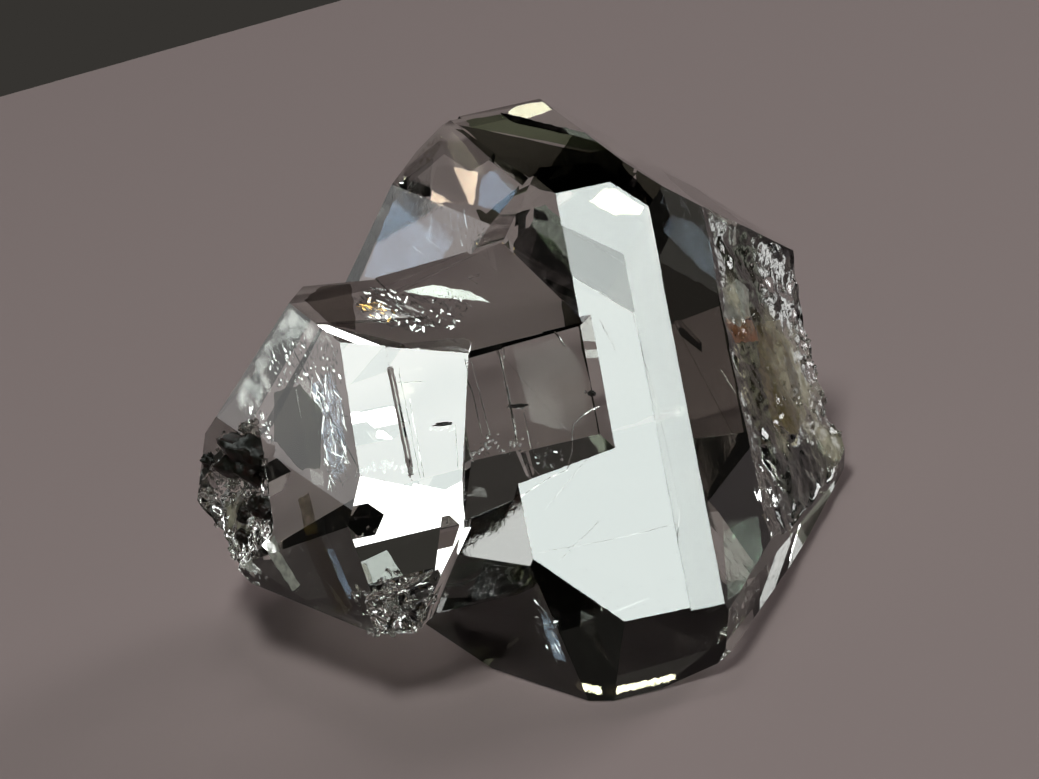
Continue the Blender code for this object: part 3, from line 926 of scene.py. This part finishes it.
def makeCarbon(name, middle, radii, nodes, material, surface):
    isChip = name.startswith(("carbonChip", "carbonDot"))
    longWay = faceNormal(*carbonLook["chipWay" if isChip else "lumpWay"])
    turn = longWay.to_track_quat("X", "Z").to_matrix()
    home = inWorld(Vector(middle))
    if not nodes:  # a lump without a solid of its own sinks into the face beside it
        nearest, normal = surface.find_nearest(home)[:2]
        home = nearest - normal * carbonLook["sunk"] * radii[2] * mm
    shift = home - inWorld(Vector(middle))
    bm = bmesh.new()
    bmesh.ops.create_icosphere(bm, subdivisions=4, radius=1.0)
    for vert in bm.verts:
        way = vert.co.normalized()
        swell = 1.0 + carbonLook["lumps"] * noise.noise(way * 1.7 + Vector(middle))
        swell += carbonLook["pimples"] * noise.noise(way * 4.5 + Vector(middle))
        bulge = turn @ Vector([w * r * swell for w, r in zip(way, radii)])
        vert.co = inWorld(Vector(middle) + bulge) + shift
    return finishPiece(name, bm, material, nodes, smooth=True)


# studio: plain pale paper, one long soft box high in front, and small panels far behind and beside
# the stone, which light what is seen through it. The room is dim at the horizon and black above
studio = {
    "paper": "#a39190",
    "paperSize": 200.0,  # mm
    "wall": "#353330",
    "ceiling": "#020202",
    "ceilingFrom": 0.35,  # sine of the height at which the wall has turned into the ceiling
    "airGap": 0.05,  # mm under the resting face
    "softboxDirection": (-0.045, -0.27, 0.962),
    "softboxDistance": 420.0,  # mm
    "softboxWide": 72.0,
    "softboxDeep": 200.0,
    "softboxRadiance": 16.5,
    "softboxColor": "#f6fffb",
}
# panels: azimuth from the camera side and height in degrees, width and height in degrees, radiance
panels = {
    "lowPanel": (172.5, 3.6, 9.0, 5.6, 3.0),
    "backSoftbox": (170.0, 52.5, 16.0, 10.0, 5.0),
    "stripPanel": (-160.0, 56.5, 9.0, 5.0, 0.9),
    "rightPanel": (122.0, 16.0, 22.0, 20.0, 9.0),
    "leftPanel": (-173.0, 11.0, 5.0, 5.0, 3.0),
    "highPanel": (-179.0, 43.0, 8.0, 5.0, 0.7),
    "backLeftPanel": (-135.0, 7.5, 18.0, 9.0, 0.8),
}
panelDistance = 1200.0  # mm


def makeStudio():
    scene = bpy.context.scene
    bm = bmesh.new()
    bmesh.ops.create_grid(bm, x_segments=1, y_segments=1, size=studio["paperSize"] / 2 * mm)
    mesh = bpy.data.meshes.new("paper")
    bm.to_mesh(mesh)
    bm.free()
    mesh.transform(Matrix.Translation((0, 0, -studio["airGap"] * mm)))
    paper = bpy.data.objects.new("paper", mesh)
    scene.collection.objects.link(paper)
    material, tree = newMaterial("matPaper")
    shader = addNode(tree, "ShaderNodeBsdfPrincipled", {
        "Base Color": srgb(studio["paper"]),
        "Roughness": 0.9,
        "Specular IOR Level": 0.2,
    })
    addNode(tree, "ShaderNodeOutputMaterial", links={"Surface": shader.outputs[0]})
    mesh.materials.append(material)

    world = bpy.data.worlds.new("room")
    scene.world = world
    world.use_nodes = True
    tree = world.node_tree
    tree.nodes.clear()
    way = addNode(tree, "ShaderNodeTexCoord")
    height = addNode(tree, "ShaderNodeSeparateXYZ", links={"Vector": way.outputs["Generated"]})
    rise = addNode(tree, "ShaderNodeMapRange", {"From Min": 0.0, "From Max": studio["ceilingFrom"]},
                   {"Value": height.outputs[2]})
    tone = addNode(tree, "ShaderNodeMix", {"data_type": "RGBA"}, {"Factor": rise.outputs[0]})
    tone.inputs[6].default_value = srgb(studio["wall"])
    tone.inputs[7].default_value = srgb(studio["ceiling"])
    sky = addNode(tree, "ShaderNodeBackground", links={"Color": tone.outputs[2]})
    addNode(tree, "ShaderNodeOutputWorld", links={"Surface": sky.outputs[0]})

    wide, deep = studio["softboxWide"] * mm, studio["softboxDeep"] * mm
    addLamp("softbox", Vector(studio["softboxDirection"]).normalized(), studio["softboxDistance"], wide, deep,
            studio["softboxRadiance"] * math.pi * wide * deep, studio["softboxColor"])
    for name, (azimuth, height, wide, high, radiance) in panels.items():
        turn, lift = math.radians(azimuth), math.radians(height)
        toPanel = Vector((math.sin(turn) * math.cos(lift), -math.cos(turn) * math.cos(lift), math.sin(lift)))
        wide = math.radians(wide) * panelDistance * mm
        high = math.radians(high) * panelDistance * mm
        addLamp(name, toPanel, panelDistance, wide, high, radiance * math.pi * wide * high)


def addLamp(name, direction, distance, wide, high, power, color="#ffffff"):
    lamp = bpy.data.lights.new(name, "AREA")
    lamp.shape = "RECTANGLE"
    lamp.size = wide
    lamp.size_y = high
    lamp.energy = power
    lamp.color = srgb(color)[:3]
    holder = bpy.data.objects.new(name, lamp)
    across = Vector((0, 0, 1)).cross(direction).normalized()
    turn = Matrix((across, direction.cross(across), direction)).transposed()
    holder.matrix_world = Matrix.Translation(direction * distance * mm) @ turn.to_4x4()
    bpy.context.scene.collection.objects.link(holder)


def makeCamera():
    data = bpy.data.cameras.new("camera")
    data.lens = camera["lens"]
    data.sensor_width = camera["sensor"]
    data.clip_start = 0.01
    shown = bpy.data.objects.new("camera", data)
    right, up = Vector(camera["right"]).normalized(), Vector(camera["up"]).normalized()
    turn = Matrix((right, up, right.cross(up))).transposed()
    shown.matrix_world = Matrix.Translation(Vector(camera["eye"]) * mm) @ turn.to_4x4()
    bpy.context.scene.collection.objects.link(shown)
    bpy.context.scene.camera = shown


def setLook():
    scene = bpy.context.scene
    scene.view_settings.view_transform = "Standard"
    scene.cycles.max_bounces = 24
    scene.cycles.transmission_bounces = 20
    scene.cycles.glossy_bounces = 12
    scene.cycles.diffuse_bounces = 3
    scene.cycles.transparent_max_bounces = 40
    scene.cycles.sample_clamp_indirect = 8.0


makeCamera()
makeStudio()
setLook()
print("studio done")
quartz = makeQuartz(quartzMaterial())
print("quartz done:", len(quartz.data.polygons), "faces")
dice = random.Random(11)
surface = stoneSurface(quartz)
looks = {name: crackMaterial(name) for name in crackLooks}
looks.update({name: filmMaterial(name) for name in filmLooks})
looks.update({name: clayMaterial(name) for name in clayLooks})
looks["airGap"] = airMaterial()
for name, crack in cracks.items():
    makeCrack(name, crack, looks[crack["look"]], surface)
for name, swarm in flakes.items():
    makeFlakes(name, swarm, looks[swarm["look"]], surface, dice)
makeBubbles(looks["airGap"], surface, dice)
makeRidges(quartz.data.materials[0], surface, dice)
makeCrumbs(quartz.data.materials[0], surface, dice)
print("inner cracks, flakes, bubbles and crumbs done")
carbon = carbonMaterial()
for name, (middle, radii, nodes) in carbonLumps.items():
    makeCarbon(name, middle, radii, nodes, carbon, surface)
print("carbon done")
